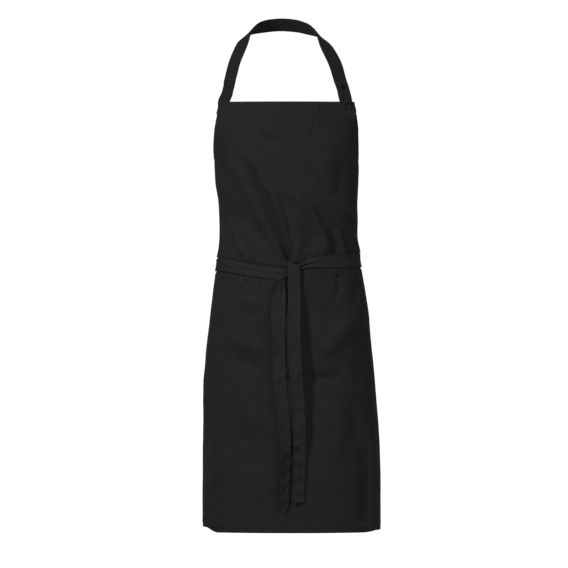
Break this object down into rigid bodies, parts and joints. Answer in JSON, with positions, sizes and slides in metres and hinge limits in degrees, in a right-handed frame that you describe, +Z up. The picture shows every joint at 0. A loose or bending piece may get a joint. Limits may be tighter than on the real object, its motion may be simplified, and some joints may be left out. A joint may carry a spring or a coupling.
{
  "type": "bib apron",
  "caption": "Plain black cotton bib apron with a press-stud neck strap and long waist ties, tied in a half knot in front, shown as worn.",
  "frame": {"origin": "middle of the neck strap's inner face at the nape", "axes": "+Z up as worn, -Y out of the apron's front, +X to the right as seen from the front"},
  "size_m": [0.389, 0.244, 1.132],
  "materials": {
    "panel_cotton": "matt fine twill",
    "tie_cotton": "matt fine twill, edge stitched",
    "strap_cotton": "matt fine twill, edge stitched",
    "thread": "polyester sewing thread",
    "black_brass": "black lacquer"
  },
  "bodies": {
    "neck_loop": {"neck_strap": "strap_cotton", "snap_stud_spare": "black_brass", "snap_stud_spare_back": "black_brass"},
    "apron": {"apron_panel": "panel_cotton", "top_hem": "panel_cotton", "bottom_hem": "panel_cotton", "left_side_hem": "panel_cotton", "right_side_hem": "panel_cotton", "strap_sewn_end": "strap_cotton", "strap_bar_tack": "thread", "snap_cap": "black_brass", "snap_socket": "black_brass", "left_waist_tie": "tie_cotton", "right_waist_tie": "tie_cotton", "left_tie_bar_tack": "thread", "right_tie_bar_tack": "thread", "tie_knot": "tie_cotton"},
    "strap_end": {"strap_snap_end": "strap_cotton", "snap_stud_engaged": "black_brass", "snap_stud_engaged_back": "black_brass"},
    "left_tail": {"left_tie_tail": "tie_cotton"},
    "right_tail": {"right_tie_tail": "tie_cotton"}
  },
  "joints": [
    {"name": "bib_swing", "type": "hinge", "parent": "neck_loop", "child": "apron", "pos_m": [0, -0.1396, -0.17], "axis": [1, 0, 0], "range_deg": [-60, 10]},
    {"name": "strap_unsnap", "type": "slide", "parent": "apron", "child": "strap_end", "axis": [-0.6469, 0.7621, 0.0268], "range_m": [0, 0.003]},
    {"name": "left_tail_swing", "type": "hinge", "parent": "apron", "child": "left_tail", "pos_m": [0.01, -0.1738, -0.5605], "axis": [-1, 0, 0], "range_deg": [0, 60]},
    {"name": "right_tail_swing", "type": "hinge", "parent": "apron", "child": "right_tail", "pos_m": [0.01, -0.1738, -0.5605], "axis": [-1, 0, 0], "range_deg": [0, 60]}
  ]
}
